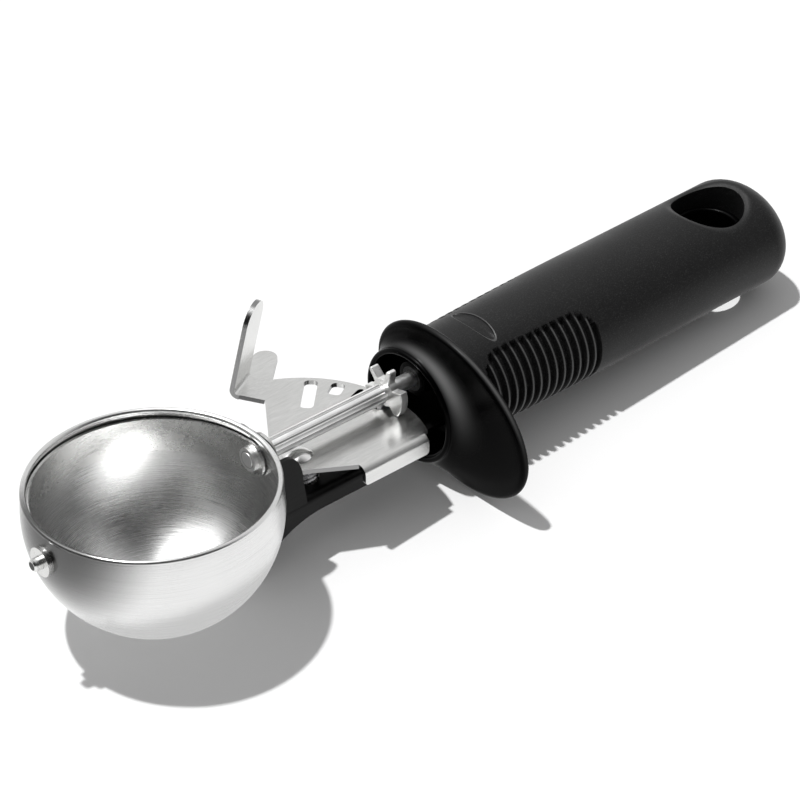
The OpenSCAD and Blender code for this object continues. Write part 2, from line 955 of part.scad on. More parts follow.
module frame_channel() {
    color("darkgray")
        rest_pose()
            difference() {
                union() {
                    cheeks();
                    intersection() {
                        sphere(r = saddle_out, $fn = 128);
                        rotate([90, 0, 90])
                            linear_extrude(big)
                                saddle_section();
                    }
                    intersection() {
                        translate([0, 0, web_top])
                            rotate([90, 0, 90])
                                linear_extrude(neck_x + tang_len)
                                    channel_section();
                        translate([0, big / 2, 0])
                            rotate([90, 0, 0])
                                linear_extrude(big)
                                    channel_side();
                        translate([0, 0, -big / 2])
                            linear_extrude(big)
                                channel_plan();
                    }
                }
                sphere(r = bowl_r, $fn = 128);
                along_x()
                    cylinder(d = rear_sleeve_d, h = 2 * bowl_r, $fn = 48);
                at_pivot()
                    translate([0, 0, -bowl_r])
                        cylinder(d = rivet_d, h = bowl_r, $fn = 48);
                for (x = tang_pins())
                    translate([x, 0, web_top])
                        cylinder(d = tang_pin_d, h = 3 * channel_t, center = true, $fn = 32);
            }
}

tang_pin_end = 6;
function tang_pins() = [
    neck_x + tang_len - tang_pin_end - tang_pin_gap,
    neck_x + tang_len - tang_pin_end
];

module tang_pin_body(x) {
    translate([x, 0, web_top - channel_t / 2])
        cylinder(d = tang_pin_d, h = tang_pin_len, center = true, $fn = 32);
}

module tang_pin(x) {
    color("gainsboro")
        rest_pose()
            tang_pin_body(x);
}

module front_tang_pin() {
    tang_pin(tang_pins()[0]);
}

module rear_tang_pin() {
    tang_pin(tang_pins()[1]);
}

// ---- handle -----------------------------------------------------------------

// Half width of the grip at x from the mouth.
function grip_r(x) =
    let (
        mid_x = (grip_start + dome_x) / 2,
        share = (x - mid_x) / (dome_x - mid_x),
        end_r = share < 0 ? grip_front_r : grip_end_r
    )
    grip_mid_r + (end_r - grip_mid_r) * share * share;

// A closed skin through rings of points, capped flat at both ends.
module loft(rings) {
    sides = len(rings[0]);
    last = len(rings) - 1;
    skin = [
        for (i = [0 : last - 1], k = [0 : sides - 1])
            let (n = (k + 1) % sides)
                [i * sides + k, i * sides + n, (i + 1) * sides + n, (i + 1) * sides + k]
    ];
    start_cap = [for (k = [sides - 1 : -1 : 0]) k];
    end_cap = [for (k = [0 : sides - 1]) last * sides + k];
    polyhedron(
        points = [for (r = rings, p = r) p],
        faces = concat(skin, [start_cap, end_cap]),
        convexity = 8
    );
}

// The grip's outside: rounded front edge, slightly swelling barrel, domed end.
module grip_body() {
    sides = 60;
    steps = 10;
    barrel = dome_x - grip_start - grip_nose;
    profile = concat(
        [for (a = [0 : 30 : 90])
            [grip_start + grip_nose * (1 - cos(a)), grip_r(grip_start) - grip_nose * (1 - sin(a))]],
        [for (i = [1 : steps])
            let (x = grip_start + grip_nose + barrel * i / steps)
                [x, grip_r(x)]],
        [for (a = [12 : 12 : 72])
            [dome_x + dome_len * sin(a), grip_end_r * cos(a)]],
        [[dome_x + dome_len, grip_end_r * cos(82)]]
    );
    loft([
        for (p = profile)
            [for (k = [0 : sides - 1])
                let (a = -k * 360 / sides)
                    [p[0], p[1] * cos(a), p[1] * grip_squash * sin(a)]]
    ]);
}

// Outlines round the handle's axis, as lists of [y, z].
guard_sides = 60;
guard_angles = [for (k = [0 : guard_sides - 1]) -k * 360 / guard_sides];
function mouth_line(grow) = [
    for (a = guard_angles)
        [(mouth_r + grow) * cos(a), (mouth_r + grow) * sin(a) - mouth_drop]
];
function neck_line(grow) = [
    for (a = guard_angles)
        [(neck_r + grow) * cos(a), (neck_r * grip_squash + grow) * sin(a)]
];
function rim_line(grow) = [
    for (a = guard_angles)
        let (
            u = (guard_a + grow) * cos(a - guard_turn),
            v = (guard_b + grow) * sin(a - guard_turn)
        )
            [
                u * cos(guard_turn) - v * sin(guard_turn) - guard_shift,
                u * sin(guard_turn) + v * cos(guard_turn) + guard_lift
            ]
];
function ring_at(x, from, to, share) = [
    for (k = [0 : guard_sides - 1])
        let (p = from[k] + share * (to[k] - from[k]))
            [x, p[0], p[1]]
];

// Hollow neck and trumpet guard in one skin: from the hollow's floor forward to
// the rounded mouth, out over the flare, round the rim and back down to the neck.
module guard_and_neck() {
    edge_r = mouth_wall / 2;
    rim_r = guard_t / 2;
    rim_back = flare_len + guard_t;
    floor_x = hollow_depth;
    hollow = [
        for (share = [1, 0.5])
            ring_at(share * floor_x, mouth_line(-mouth_wall), neck_line(-mouth_wall), share)
    ];
    edge = [
        for (a = [0 : 45 : 180])
            ring_at(
                edge_r * (1 - sin(a)),
                mouth_line(-edge_r * (1 + cos(a))),
                rim_line(-rim_r),
                0
            )
    ];
    flare = [
        for (a = [15 : 15 : 90])
            ring_at(
                edge_r + (flare_len - edge_r) * sin(a),
                mouth_line(0),
                rim_line(-rim_r),
                1 - cos(a)
            )
    ];
    rim = [
        for (a = [30 : 30 : 180])
            ring_at(flare_len + rim_r * (1 - cos(a)), rim_line(rim_r * (sin(a) - 1)), mouth_line(0), 0)
    ];
    back = [
        for (a = [75 : -15 : 0])
            ring_at(
                rim_back + (grip_start - rim_back) * (1 - sin(a)),
                neck_line(0),
                rim_line(-rim_r),
                1 - cos(a)
            )
    ];
    loft(concat(hollow, edge, flare, rim, back));
}

module hang_cylinder(d, h) {
    translate([hang_x, 0, 0])
        cylinder(d = d, h = h, center = true, $fn = 96);
}

// The ring round the hanging hole, with rounded edges.
module hang_ring() {
    corner = 0.8;
    inner = hang_d / 2;
    outer = ring_d / 2;
    translate([hang_x, 0, 0])
        rotate_extrude($fn = 96)
            union() {
                translate([inner - 2, -ring_h / 2])
                    square([outer - inner + 2 - corner, ring_h]);
                translate([inner, -ring_h / 2 + corner])
                    square([outer - inner, ring_h - 2 * corner]);
                for (z = [-1, 1])
                    translate([outer - corner, z * (ring_h / 2 - corner)])
                        circle(r = corner, $fn = 24);
            }
}

// Flattened bar of the hard core, from the neck to the ring.
module core_bar() {
    from = hollow_depth + 0.8;
    translate([from, 0, 0])
        rotate([90, 0, 90])
            linear_extrude(hang_x - ring_d / 2 + 1 - from)
                intersection() {
                    circle(r = core_half_w, $fn = 96);
                    square([2 * core_half_w, 2 * core_half_h], center = true);
                }
}

module handle_core() {
    color("dimgray")
        rest_pose()
            difference() {
                union() {
                    at_neck() {
                        guard_and_neck();
                        core_bar();
                        hang_ring();
                    }
                    along_x(boss_x)
                        cylinder(d = boss_d, h = bush_len, $fn = 64);
                }
                at_neck()
                    hang_cylinder(hang_d, big);
                translate([neck_x - 1, -tang_w / 2, web_low])
                    cube([tang_len + 1, tang_w, channel_t]);
                for (x = tang_pins())
                    tang_pin_body(x);
                along_x(boss_x - 1)
                    cylinder(d = bush_d, h = bush_len + 1, $fn = 48);
            }
}

module spindle_bush() {
    color("goldenrod")
        rest_pose()
            along_x(boss_x)
                difference() {
                    cylinder(d = bush_d, h = bush_len, $fn = 48);
                    translate([0, 0, -1])
                        cylinder(d = tail_d + 2 * fit, h = bush_len + 2, $fn = 48);
                }
}

// Half height of the grooved patch at a distance from its nearer end.
function patch_half(from_end) =
    let (short = max(patch_corner - from_end, 0))
    patch_h / 2 - patch_corner + sqrt(patch_corner * patch_corner - short * short);

// Grooves round both flanks of the grip, all of one depth.
module grooves() {
    for (i = [0 : groove_count - 1]) {
        mid = patch_start + (i + 0.5) * groove_pitch;
        from_end = (min(i, groove_count - 1 - i) + 0.5) * groove_pitch;
        half = patch_half(from_end);
        bottom_r = grip_r(mid) - groove_depth;
        translate([mid - groove_w / 2, 0, 0])
            rotate([90, 0, 90])
                linear_extrude(groove_w)
                    difference() {
                        square([4 * grip_mid_r, 2 * half], center = true);
                        scale([1, grip_squash])
                            circle(r = bottom_r, $fn = 96);
                    }
    }
}

// Shallow oval across the top of the grip, with a floor that follows the barrel.
module oval_recess() {
    translate([oval_x, 0, 0])
        difference() {
            linear_extrude(big)
                scale([oval_w / oval_len, 1])
                    circle(d = oval_len, $fn = 96);
            rotate([90, 0, 90])
                linear_extrude(2 * oval_w, center = true)
                    scale([1, grip_squash])
                        circle(r = grip_r(oval_x) - oval_depth, $fn = 96);
        }
}

// Opening of the sleeve over the ring, wider towards the surface.
module hang_opening() {
    deep = 30;
    slope = (dish_d - ring_d) / 2 / (grip_end_r * grip_squash - ring_h / 2);
    wide = ring_d / 2 + slope * (deep - ring_h / 2);
    translate([hang_x, 0, 0])
        rotate_extrude($fn = 96)
            polygon([
                [0, -deep],
                [wide, -deep],
                [ring_d / 2, -ring_h / 2],
                [ring_d / 2, ring_h / 2],
                [wide, deep],
                [0, deep]
            ]);
}

module grip_sleeve() {
    color("black")
        rest_pose()
            at_neck()
                difference() {
                    grip_body();
                    core_bar();
                    hang_opening();
                    grooves();
                    oval_recess();
                }
}

// ---- assembly ---------------------------------------------------------------

bowl();
front_bearing();
rear_bearing();
frame_channel();
handle_core();
grip_sleeve();
spindle_bush();
front_tang_pin();
rear_tang_pin();
pivot_rivet();
pivot_bushing();
upper_washer();
lower_washer();
return_spring();
lever_plate();
spindle();
star_pinion();
scraper_blade();
front_pin();
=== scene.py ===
import json
import math

import bmesh
import bpy
import numpy as np
from mathutils import Matrix, Vector
from mathutils.bvhtree import BVHTree


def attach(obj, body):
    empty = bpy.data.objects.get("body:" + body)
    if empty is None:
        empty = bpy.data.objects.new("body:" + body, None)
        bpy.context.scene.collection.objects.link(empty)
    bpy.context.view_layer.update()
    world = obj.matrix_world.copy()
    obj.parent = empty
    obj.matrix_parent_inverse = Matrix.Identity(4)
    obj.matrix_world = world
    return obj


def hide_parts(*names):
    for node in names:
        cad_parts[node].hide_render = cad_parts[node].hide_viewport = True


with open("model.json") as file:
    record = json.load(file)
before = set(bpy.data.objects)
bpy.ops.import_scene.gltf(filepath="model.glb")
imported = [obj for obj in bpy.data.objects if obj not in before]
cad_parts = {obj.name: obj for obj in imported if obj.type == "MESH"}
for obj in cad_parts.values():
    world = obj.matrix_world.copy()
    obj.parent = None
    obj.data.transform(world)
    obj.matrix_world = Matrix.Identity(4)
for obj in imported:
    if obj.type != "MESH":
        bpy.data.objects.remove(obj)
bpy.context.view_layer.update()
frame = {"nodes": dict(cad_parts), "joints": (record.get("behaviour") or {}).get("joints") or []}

scene = bpy.context.scene
scene.view_settings.view_transform = "Standard"

# ---- The scoop's own axes ---------------------------------------------------------
# Everything is laid out in mm from the middle of the bowl: x runs along the spindle
# to the handle, y to the side of the thumb tab and z up out of the bowl. The
# scraper's joint says where that is as the scoop lies on its bowl and handle.
sweep = next(joint for joint in frame["joints"] if joint["name"] == "scraper_sweep")
bowl_centre = np.array(sweep["pos_m"])
spindle_line = -np.array(sweep["axis"])
scoop_axes = np.array([spindle_line, [0, 1, 0], np.cross(spindle_line, [0, 1, 0])])


def turn_to_rest(directions):
    """Scoop axes to the resting scoop: x, y and z times the three axis directions."""
    return np.asarray(directions, float) @ scoop_axes


def at_rest(points):
    """Points in mm to metres at rest: the bowl's centre plus the turned point / 1000."""
    return bowl_centre + turn_to_rest(points) / 1000


# ---- Camera -----------------------------------------------------------------------
# A long lens looks down over the bowl's end, with the handle running away to the
# right. Its heading, dip and tilt are in radians, its reach and sensor in mm, and its
# focal length, the render's width and the bowl's middle in it in pixels.
heading, dip, tilt = 0.7132, 0.60486, -0.00531
reach, sensor_width = 600.0, 36
focal, picture = 2654.83, 800
bowl_pixel = (153.46, 506.21)

away = np.array([math.sin(heading), math.cos(heading), 0])
side = np.array([math.cos(heading), -math.sin(heading), 0])
gaze = away * math.cos(dip) - np.array([0, 0, math.sin(dip)])
over = away * math.sin(dip) + np.array([0, 0, math.cos(dip)])
right = side * math.cos(tilt) + over * math.sin(tilt)
top = over * math.cos(tilt) - side * math.sin(tilt)
shift_right = (bowl_pixel[0] - picture / 2) * reach / focal
shift_down = (bowl_pixel[1] - picture / 2) * reach / focal
camera_place = -(shift_right * right - shift_down * top + reach * gaze)

camera = bpy.data.objects.new("camera", bpy.data.cameras.new("camera"))
camera.data.sensor_width = sensor_width
camera.data.lens = focal * sensor_width / picture
camera.data.clip_start = 0.05
pose = np.eye(4)
pose[:3, :3] = turn_to_rest([right, top, -gaze]).T
pose[:3, 3] = at_rest(camera_place)
camera.matrix_world = Matrix(pose)
scene.collection.objects.link(camera)
scene.camera = camera

# ---- Studio -----------------------------------------------------------------------
# One steep, fairly hard lamp from the thumb side throws the shadow to the near side.
# The room is pale; behind the camera it is dim, which gives the steel its contrast.
# Metal mirrors the floor dimmer than it is lit, so that it keeps some contrast there.
lamp = bpy.data.objects.new("lamp", bpy.data.lights.new("lamp", "SUN"))
lamp.data.energy = 2.5
lamp.data.angle = math.radians(2.2)
lamp_direction = Vector(turn_to_rest([0.16, -0.27, -1]))
lamp.rotation_euler = lamp_direction.to_track_quat("-Z", "Y").to_euler()
scene.collection.objects.link(lamp)


def feed(tree, node, inputs):
    """Links each named input to the socket given for it, or sets it to the value."""
    for name, value in inputs.items():
        if isinstance(value, bpy.types.NodeSocket):
            tree.links.new(value, node.inputs[name])
        else:
            node.inputs[name].default_value = value


def added(tree, kind, inputs, **settings):
    """A new shader node of a kind, with its settings made before its inputs are fed."""
    node = tree.nodes.new("ShaderNode" + kind)
    for name, value in settings.items():
        setattr(node, name, value)
    feed(tree, node, inputs)
    return node


def eased(tree, value, start, end, before, after):
    """A soft step in a value: before up to start, after from end on, and between them
    3t^2 - 2t^3 of the way."""
    limits = {"From Min": start, "From Max": end, "To Min": before, "To Max": after}
    step = added(tree, "MapRange", {"Value": value, **limits}, interpolation_type="SMOOTHSTEP")
    return step.outputs["Result"]


world = bpy.data.worlds.new("studio")
scene.world = world
world.use_nodes = True
air = world.node_tree
air.nodes.clear()
path = added(air, "LightPath", {}).outputs
direction = added(air, "TexCoord", {}).outputs["Generated"]


def glow(toward, start, end, before, after):
    """A soft step in the room's brightness, by the cosine between a direction in it and
    the one that it glows or dims toward."""
    toward = tuple(turn_to_rest(toward) / np.linalg.norm(toward))
    lean = added(air, "VectorMath", {0: direction, 1: toward}, operation="DOT_PRODUCT")
    return eased(air, lean.outputs["Value"], start, end, before, after)


def of_two(operation, first, second):
    """The sum or the larger of two of the world's values."""
    return added(air, "Math", {0: first, 1: second}, operation=operation).outputs["Value"]


dim_side = glow(toward=(-0.72, -0.66, 0.2), start=-0.3, end=0.5, before=0.75, after=0.03)
overhead = glow(toward=(-0.3, 0.35, 0.88), start=0.8, end=0.97, before=0.0, after=2.4)
lit_room = of_two("ADD", dim_side, overhead)
in_mirrors = of_two("MAXIMUM", path["Is Glossy Ray"], path["Is Transmission Ray"])
seen = of_two("MAXIMUM", path["Is Camera Ray"], in_mirrors)
strength = of_two("MAXIMUM", lit_room, path["Is Camera Ray"])
room = added(air, "Background", {"Color": (0.38, 0.38, 0.38, 1)}).outputs["Background"]
backdrop = added(air, "Background", {"Color": (1, 1, 1, 1), "Strength": strength})
mix = added(air, "MixShader", {"Fac": seen, 1: room, 2: backdrop.outputs["Background"]})
added(air, "OutputWorld", {"Surface": mix.outputs["Shader"]})

floor_half = 3.0
floor = bpy.data.objects.new("floor", bpy.data.meshes.new("floor"))
floor.data.from_pydata(
    [(x * floor_half, y * floor_half, 0) for x, y in ((-1, -1), (1, -1), (1, 1), (-1, 1))],
    [],
    [(0, 1, 2, 3)],
)
floor_paint = bpy.data.materials.new("floor_paint")
floor_paint.use_nodes = True
floor_tree = floor_paint.node_tree
floor_path = added(floor_tree, "LightPath", {}).outputs


def in_reflections(plain, mirrored):
    """A value for the floor: one where it is seen or lit, another in reflections."""
    limits = {"Value": floor_path["Is Glossy Ray"], "To Min": plain, "To Max": mirrored}
    return added(floor_tree, "MapRange", limits).outputs["Result"]


feed(floor_tree, floor_tree.nodes["Principled BSDF"], {
    "Base Color": in_reflections(plain=0.95, mirrored=0.45),
    "Roughness": 0.9,
    "Specular IOR Level": 0,
    "Emission Color": (1, 1, 1, 1),
    "Emission Strength": in_reflections(plain=0.0, mirrored=0.54),
})
floor.data.materials.append(floor_paint)
scene.collection.objects.link(floor)

# ---- Bowl -------------------------------------------------------------------------
# Spun from 0.8 mm stainless sheet to half a sphere and a little more, with its rim
# rolled to a round bead. It is brushed round and round, so the lines lie level. Each
# wall runs from the pole to the bead in degrees above the middle, and the bead turns
# from the outer wall over the rim to the inner one.
bowl_r, bowl_in = 30.0, 29.2
pole, outer_end, inner_end = -89.9, 11.1, 11.2
bead_r, bead_y, bead_z = 0.7, 28.98, 6.3
bead_start, bead_end = -48.5, 241.4
front_hole_x, front_hole_r = -31.0, 2.5
rear_hole_x, rear_hole_r = 28.0, 3.7
hole_len = 3.0


def skin(name, rings):
    """A closed skin over rings of points: quads join point k of each ring to point k
    of the next, and a flat face closes each end. The UV map is in mm: u along the
    longest ring and v from ring to ring."""
    rings = np.asarray(rings, float)
    rows, cols = rings.shape[:2]
    index = np.arange(rows * cols).reshape(rows, cols)
    near, far = index[:-1], index[1:]
    quads = np.stack([near, np.roll(near, -1, 1), np.roll(far, -1, 1), far], -1)
    faces = quads.reshape(-1, 4).tolist() + [index[0, ::-1].tolist(), index[-1].tolist()]
    mesh = bpy.data.meshes.new(name)
    mesh.from_pydata(at_rest(rings.reshape(-1, 3)).tolist(), [], faces)
    gaps = np.linalg.norm(rings[1:] - rings[:-1], axis=2).max(axis=1)
    heights = np.concatenate([[0], np.cumsum(gaps)])
    girth = np.linalg.norm(np.roll(rings, -1, axis=1) - rings, axis=2).sum(axis=1).max()
    u = (np.arange(cols)[:, None] + [0, 1, 1, 0]) * girth / cols
    v = heights[np.arange(rows - 1)[:, None] + [0, 0, 1, 1]]
    uv = np.zeros((len(mesh.loops), 2))
    uv[: quads.size, 0] = np.broadcast_to(u, quads.shape).ravel()
    uv[: quads.size, 1] = np.broadcast_to(v[:, None], quads.shape).ravel()
    mesh.uv_layers.new(name="lines").data.foreach_set("uv", uv.ravel())
    a, b, c, d = (rings.reshape(-1, 3)[quads[..., i].ravel()] for i in range(4))
    if (np.cross(a, b) * c).sum() + (np.cross(a, c) * d).sum() < 0:
        mesh.flip_normals()
    piece = bpy.data.objects.new(name, mesh)
    scene.collection.objects.link(piece)
    return piece


def crisp(piece):
    """Smooth shading, broken only at edges that turn by more than 32 degrees."""
    piece.data.polygons.foreach_set("use_smooth", [True] * len(piece.data.polygons))
    piece.data.set_sharp_from_angle(angle=math.radians(32))


def combine(piece, other, operation):
    """The exact union of two closed skins, or the first with the second cut out of it."""
    step = piece.modifiers.new(operation, "BOOLEAN")
    step.operation, step.solver, step.object = operation, "MANIFOLD", other
    worked = piece.evaluated_get(bpy.context.evaluated_depsgraph_get())
    made = bpy.data.meshes.new_from_object(worked)
    piece.modifiers.clear()
    piece.data = made
    bpy.data.objects.remove(other)


def turned(name, profile, axis, sides):
    """A turned piece: each (radius, height) goes round the axis, x or z, as a circle
    of that radius at that height."""
    radius, height = np.array(profile, float).T[..., None]
    a = np.arange(sides) * 2 * np.pi / sides
    rounds = [radius * np.cos(a), radius * np.sin(a), height + 0 * a]
    if axis == "x":
        rounds = rounds[2:] + rounds[:2]
    return skin(name, np.stack(rounds, -1))


def dressed(piece, paint, body, slot, *stands_for):
    """Gives a piece its material and body, and hides the CAD nodes that it stands for. The slot
    is not used.
    """
    piece.data.materials.clear()
    piece.data.materials.append(paint)
    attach(piece, body)
    if stands_for:
        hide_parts(*stands_for)


def new_paint(name):
    """A material with its node tree, its plain shader and its texture coordinates."""
    paint = bpy.data.materials.new(name)
    paint.use_nodes = True
    tree = paint.node_tree
    return paint, tree, tree.nodes["Principled BSDF"], added(tree, "TexCoord", {}).outputs


def metal(name, colour, roughness, lines, space="Object", patch=90, spread=0.10, dent=0.00002):
    """Steel or zinc. Noise stretched by lines darkens, roughens and dents it along its
    grain, and a broad noise, patch cells to the metre, adds handling marks."""
    paint, tree, shader, where = new_paint(name)
    stretched = added(tree, "Mapping", {"Vector": where[space], "Scale": lines})
    grain = added(tree, "TexNoise", {
        "Vector": stretched.outputs["Vector"], "Scale": 1, "Detail": 4, "Roughness": 0.65,
    }).outputs["Fac"]
    marks = added(tree, "TexNoise", {"Vector": where["Object"], "Scale": patch, "Detail": 5})
    tone = added(tree, "Mix", {
        "Factor": grain,
        "A": (*[c * (1 - spread) for c in colour], 1),
        "B": (*[min(c * (1 + spread), 1) for c in colour], 1),
    }, data_type="RGBA")
    both = added(tree, "Math", {0: grain, 1: marks.outputs["Fac"]})
    polish = added(tree, "MapRange", {
        "Value": both.outputs["Value"],
        "From Min": 0.6, "From Max": 1.4,
        "To Min": roughness * 0.7, "To Max": roughness * 1.35,
    })
    bump = added(tree, "Bump", {"Height": grain, "Strength": 0.5, "Distance": dent})
    feed(tree, shader, {
        "Metallic": 1,
        "Base Color": tone.outputs["Result"],
        "Roughness": polish.outputs["Result"],
        "Normal": bump.outputs["Normal"],
    })
    return paint


def brushed(paint, amount):
    """Spreads a metal's reflections across the lines of its UV map, as brushing does."""
    tree = paint.node_tree
    along_u = added(tree, "Tangent", {}, direction_type="UV_MAP", uv_map="lines")
    feed(tree, tree.nodes["Principled BSDF"], {
        "Tangent": along_u.outputs["Tangent"],
        "Anisotropic": amount,
        "Anisotropic Rotation": 0.25,
    })


def tinted(paint, share, colour, blend):
    """Mixes or multiplies a share of a colour into the one that a material has."""
    tree = paint.node_tree
    shader = tree.nodes["Principled BSDF"]
    before = shader.inputs["Base Color"].links[0].from_socket
    mixed = {"Factor": share, "A": before, "B": colour}
    tint = added(tree, "Mix", mixed, data_type="RGBA", blend_type=blend)
    feed(tree, shader, {"Base Color": tint.outputs["Result"]})


def off_centre(tree):
    """Where a point lies from the middle of the bowl, in metres."""
    where = added(tree, "TexCoord", {}).outputs["Object"]
    offset = added(tree, "VectorMath", {0: where, 1: tuple(bowl_centre)}, operation="SUBTRACT")
    return offset.outputs["Vector"]


def painted_reflection_toward(paint, toward, start, end, darkest):
    """Darkens the bowl's metal toward one side: from 1 at a share start of its radius to
    darkest at a share end. It is a painted reflection of the dim room on that side."""
    tree = paint.node_tree
    toward = tuple(turn_to_rest(toward) / np.linalg.norm(toward) / bowl_r * 1000)
    lean = added(tree, "VectorMath", {0: off_centre(tree), 1: toward}, operation="DOT_PRODUCT")
    tinted(paint, 1, eased(tree, lean.outputs["Value"], start, end, 1, darkest), "MULTIPLY")


def arc(radius, start, end, steps, centre=(0, 0)):
    """Points on a circle in (radius, height), from one angle to another in degrees."""
    a = np.radians(np.linspace(start, end, steps))
    return np.stack([centre[0] + radius * np.cos(a), centre[1] + radius * np.sin(a)], -1)


bowl = turned(
    "bowl_shell",
    np.concatenate([
        arc(bowl_r, pole, outer_end, 72),
        arc(bead_r, bead_start, bead_end, 26, (bead_y, bead_z)),
        arc(bowl_in, inner_end, pole, 72),
    ]),
    "z",
    240,
)
for start, hole_r in ((front_hole_x, front_hole_r), (rear_hole_x, rear_hole_r)):
    hole = turned("bowl_hole", [(hole_r, start), (hole_r, start + hole_len)], "x", 48)
    combine(bowl, hole, "DIFFERENCE")
crisp(bowl)
spun_steel = metal(
    "spun_steel", (0.86, 0.86, 0.85), 0.25,
    lines=(0.03, 5, 1), space="UV", patch=60, spread=0.28, dent=0.00006,
)
brushed(spun_steel, 0.5)
# Painted reflection: the bowl is darkened toward its nose, where it would mirror the dim side of
# the room.
painted_reflection_toward(spun_steel, (-0.95, -0.1, 0.3), start=0.62, end=0.98, darkest=0.15)
dressed(bowl, spun_steel, "frame", "brushed_stainless", "bowl")

# ---- Bearings in the bowl ---------------------------------------------------------
# A short flanged steel sleeve sits in the wall at each end of the spindle line, the
# front one for the scraper's pin and the larger rear one for the spindle.
turned_steel = metal("turned_steel", (0.7, 0.7, 0.69), 0.25, lines=(2500, 400, 400), patch=300)


def repaint(paint, *names):
    """Gives CAD nodes whose shape is right their own finish."""
    for name in names:
        frame["nodes"][name].material_slots[0].material = paint


repaint(turned_steel, "front_bearing", "rear_bearing")

# ---- Channel ----------------------------------------------------------------------
# One stamping of 1.2 mm stainless: a saddle spot-welded to the bowl's back, cheeks
# that run down into a channel with its open side below, and a flat tang that goes
# into the handle. Its edges are tumbled round.


def tumbled(name, node, edge):
    """A copy of a CAD node with its doubles merged, its flat faces made whole and
    its sharp edges rounded to a radius in mm."""
    piece = bpy.data.objects.new(name, bpy.data.meshes.new(name))
    scene.collection.objects.link(piece)
    shape = bmesh.new()
    shape.from_mesh(frame["nodes"][node].data)
    bmesh.ops.remove_doubles(shape, verts=shape.verts, dist=1e-7)
    bmesh.ops.dissolve_limit(
        shape, angle_limit=math.radians(0.2), verts=shape.verts, edges=shape.edges
    )
    shape.to_mesh(piece.data)
    shape.free()
    if "custom_normal" in piece.data.attributes:
        piece.data.attributes.remove(piece.data.attributes["custom_normal"])
    crisp(piece)
    bevel = piece.modifiers.new("edges", "BEVEL")
    bevel.width, bevel.segments = edge / 1000, 2
    bevel.limit_method, bevel.angle_limit = "ANGLE", math.radians(35)
    bevel.use_clamp_overlap, bevel.harden_normals = True, True
    return piece


channel = tumbled("channel", "frame_channel", 0.18)
# Painted shade: the channel's steel is made nearly black, as dark as it lies in the shade under
# the lever.
steel_painted_dark = metal(
    "steel_painted_dark", (0.015, 0.015, 0.015), 0.36, lines=(60, 1400, 1400), patch=120, spread=0.3
)
dressed(channel, steel_painted_dark, "frame", "brushed_stainless", "frame_channel")

# ---- Handle core and hand guard ---------------------------------------------------
# One moulding of hard black plastic: a round hollow mouth that flares out to an oval
# hand guard, a boss for the spindle's bush, a bar inside the grip and the ring of
# the hanging hole. It is semi-gloss, with its edges left rounded by the mould.
neck_x, handle_drop, handle_rise = 76.0, 6.3, math.radians(1.1)
mouth_r, mouth_drop, wall = 15.2, 1.3, 1.6
neck_r, grip_squash, hollow_depth = 14.8, 0.85, 8.0
flare_len, rim_t, grip_start = 3.7, 2.6, 9.6
guard_a, guard_b, guard_turn = 27.0, 18.9, math.radians(17.5)
guard_shift, guard_lift = 10.9, 1.4
around = np.arange(240) * 2 * np.pi / 240


def on_handle(points):
    """Handle axes to the scoop's: turned up by the handle's rise and moved to the mouth."""
    x, y, z = np.moveaxis(np.asarray(points, float), -1, 0)
    c, s = math.cos(handle_rise), math.sin(handle_rise)
    return np.stack([neck_x + x * c - z * s, y, z * c + x * s - handle_drop], -1)


def mouth_line(grow):
    """Circle of the mouth: radius r, a little below the handle's axis."""
    r = mouth_r + grow
    return np.stack([r * np.cos(around), r * np.sin(around) - mouth_drop], -1)


def neck_line(grow):
    """Oval of the neck under the grip: half width r and half height r times the squash."""
    wide, high = neck_r + grow, neck_r * grip_squash + grow
    return np.stack([wide * np.cos(around), high * np.sin(around)], -1)


def rim_line(grow):
    """Oval of the guard's rim: half axes a and b, turned, shifted to the near side."""
    u = (guard_a + grow) * np.cos(around - guard_turn)
    v = (guard_b + grow) * np.sin(around - guard_turn)
    c, s = math.cos(guard_turn), math.sin(guard_turn)
    return np.stack([u * c - v * s - guard_shift, u * s + v * c + guard_lift], -1)


def ring_at(x, start, end=None, share=0.0):
    """Ring at x whose outline lies a share of the way from one outline to another."""
    outline = start if end is None else start + share * (end - start)
    return np.column_stack([np.full(len(outline), x), outline])


edge_r, rim_r = wall / 2, rim_t / 2
rim_back = flare_len + rim_t
low_rim = rim_line(-rim_r)
guard_rings = [
    ring_at(share * hollow_depth, mouth_line(-wall), neck_line(-wall), share)
    for share in (1, 0.97, 0.5, 0.12)
]
for a in np.radians(np.arange(0, 181, 15)):
    guard_rings.append(ring_at(edge_r * (1 - np.sin(a)), mouth_line(-edge_r * (1 + np.cos(a)))))
flare_from = len(guard_rings)
for a in np.radians(np.arange(5, 91, 5)):
    x = edge_r + (flare_len - edge_r) * np.sin(a)
    guard_rings.append(ring_at(x, mouth_line(0), low_rim, 1 - np.cos(a)))
rim_from = len(guard_rings)
for a in np.radians(np.arange(15, 181, 15)):
    x = flare_len + rim_r * (1 - np.cos(a))
    guard_rings.append(ring_at(x, rim_line(rim_r * (np.sin(a) - 1))))
neck_from = len(guard_rings)
for a in np.radians(np.arange(85, -1, -5)):
    x = rim_back + (grip_start - rim_back) * (1 - np.sin(a))
    guard_rings.append(ring_at(x, neck_line(0), low_rim, 1 - np.cos(a)))
core = skin("handle_core_moulding", on_handle(guard_rings))


def bell(place, middle, spread):
    """A bell curve: e to the power of minus the square of (place - middle) / spread."""
    return np.exp(-(((place - middle) / spread) ** 2))


def set_wear_and_highlight(piece, share, domain="POINT"):
    """Stores a share, 0 to 1, at each of a piece's points or faces: how far it is worn, and on
    the guard and the fins a painted highlight.
    """
    worn_and_lit = piece.data.attributes.new("wear_and_highlight", "FLOAT", domain)
    worn_and_lit.data.foreach_set("value", np.ravel(share))
